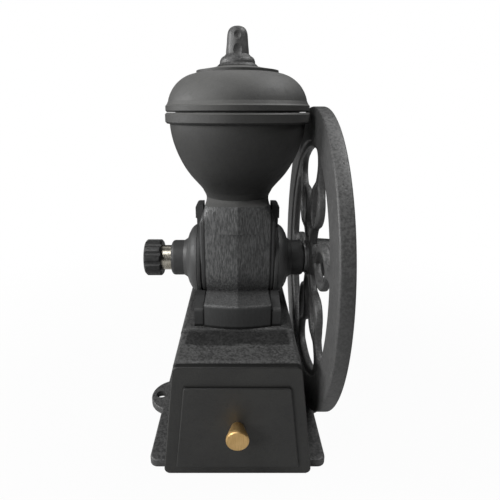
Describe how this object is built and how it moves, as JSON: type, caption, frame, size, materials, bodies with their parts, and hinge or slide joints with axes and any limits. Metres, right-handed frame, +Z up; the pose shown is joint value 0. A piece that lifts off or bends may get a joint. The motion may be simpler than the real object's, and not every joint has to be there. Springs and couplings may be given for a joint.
{
  "type": "hand crank coffee grinder",
  "caption": "Cast-iron hand crank coffee mill: flywheel with looped spokes, bowl hopper with domed lid, burrs set by a side knob, and a pull-out grounds drawer.",
  "frame": {"origin": "centre of the base's underside, on the table", "axes": "+Z up; the crank axle runs along X with the flywheel on +X; the drawer opens towards -Y"},
  "size_m": [0.1971, 0.2408, 0.3015],
  "materials": {
    "cast_iron": "fine sand-cast iron with a satin black coat",
    "cast_iron_rough": "coarse sand-cast iron with a satin black coat",
    "hopper_black": "smooth casting with a satin black coat",
    "drawer_black": "smooth casting with a satin black coat",
    "brass": "brushed turned brass",
    "nickel": "satin nickel plate",
    "knob_black": "black moulded knob, half gloss",
    "grip_black": "black lacquered wood grip",
    "steel": "plain turned steel",
    "steel_black": "blackened steel",
    "burr_steel": "hardened steel, ground",
    "bronze": "sintered bronze",
    "tray_sheet": "folded steel sheet, black"
  },
  "bodies": {
    "root": {"base_casting": "cast_iron", "stand_bolts": "steel", "centre_housing": "cast_iron_rough", "left_end_cover": "cast_iron_rough", "right_end_cover": "cast_iron_rough", "left_cover_screws": "steel_black", "right_cover_screws": "steel_black", "left_bush": "bronze", "right_bush": "bronze", "thrust_spring": "steel", "fixed_burr": "burr_steel", "fixed_burr_screws": "steel", "hopper": "hopper_black", "hopper_grub_screw": "steel_black"},
    "lid": {"lid": "hopper_black", "lid_finial": "cast_iron", "lid_screw": "steel"},
    "drawer": {"drawer_front": "drawer_black", "drawer_box": "tray_sheet", "drawer_rivets": "steel", "drawer_knob": "brass", "drawer_knob_screw": "steel"},
    "grind_setting": {"thrust_ball": "steel"},
    "adjuster": {"adjuster_knob": "knob_black", "adjuster_sleeve": "nickel", "adjuster_screw": "steel_black"},
    "wheel": {"main_shaft": "steel", "moving_burr": "burr_steel", "burr_drive_pin": "steel", "burr_nut": "steel", "feed_auger": "cast_iron_rough", "auger_pin": "steel", "thrust_washer": "steel", "flywheel": "cast_iron", "wheel_key": "steel", "hub_washer": "steel", "hub_nut": "steel_black", "handle_bolt": "steel_black", "handle_nut": "steel_black"},
    "grip": {"handle_grip": "grip_black"}
  },
  "joints": [
    {"name": "grind_travel", "type": "slide", "parent": "root", "child": "grind_setting", "axis": [1, 0, 0], "range_m": [0, 0.0015]},
    {"name": "adjuster_turn", "type": "hinge", "parent": "grind_setting", "child": "adjuster", "pos_m": [0, 0.0185, 0.1266], "axis": [1, 0, 0], "range_deg": [0, 360]},
    {"name": "crank_turn", "type": "hinge", "parent": "grind_setting", "child": "wheel", "pos_m": [0, 0.0185, 0.1266], "axis": [1, 0, 0], "continuous": true},
    {"name": "grip_spin", "type": "hinge", "parent": "wheel", "child": "grip", "pos_m": [0, 0.11653, 0.08897], "axis": [1, 0, 0], "continuous": true},
    {"name": "drawer_slide", "type": "slide", "parent": "root", "child": "drawer", "axis": [0, -1, 0], "range_m": [0, 0.11]},
    {"name": "lid_lift", "type": "slide", "parent": "root", "child": "lid", "axis": [0, 0, 1], "range_m": [0, 0.06]}
  ],
  "couplings": [
    {"joint": "adjuster_turn", "follows": "grind_travel", "rad_per_m": 4188.8}
  ]
}
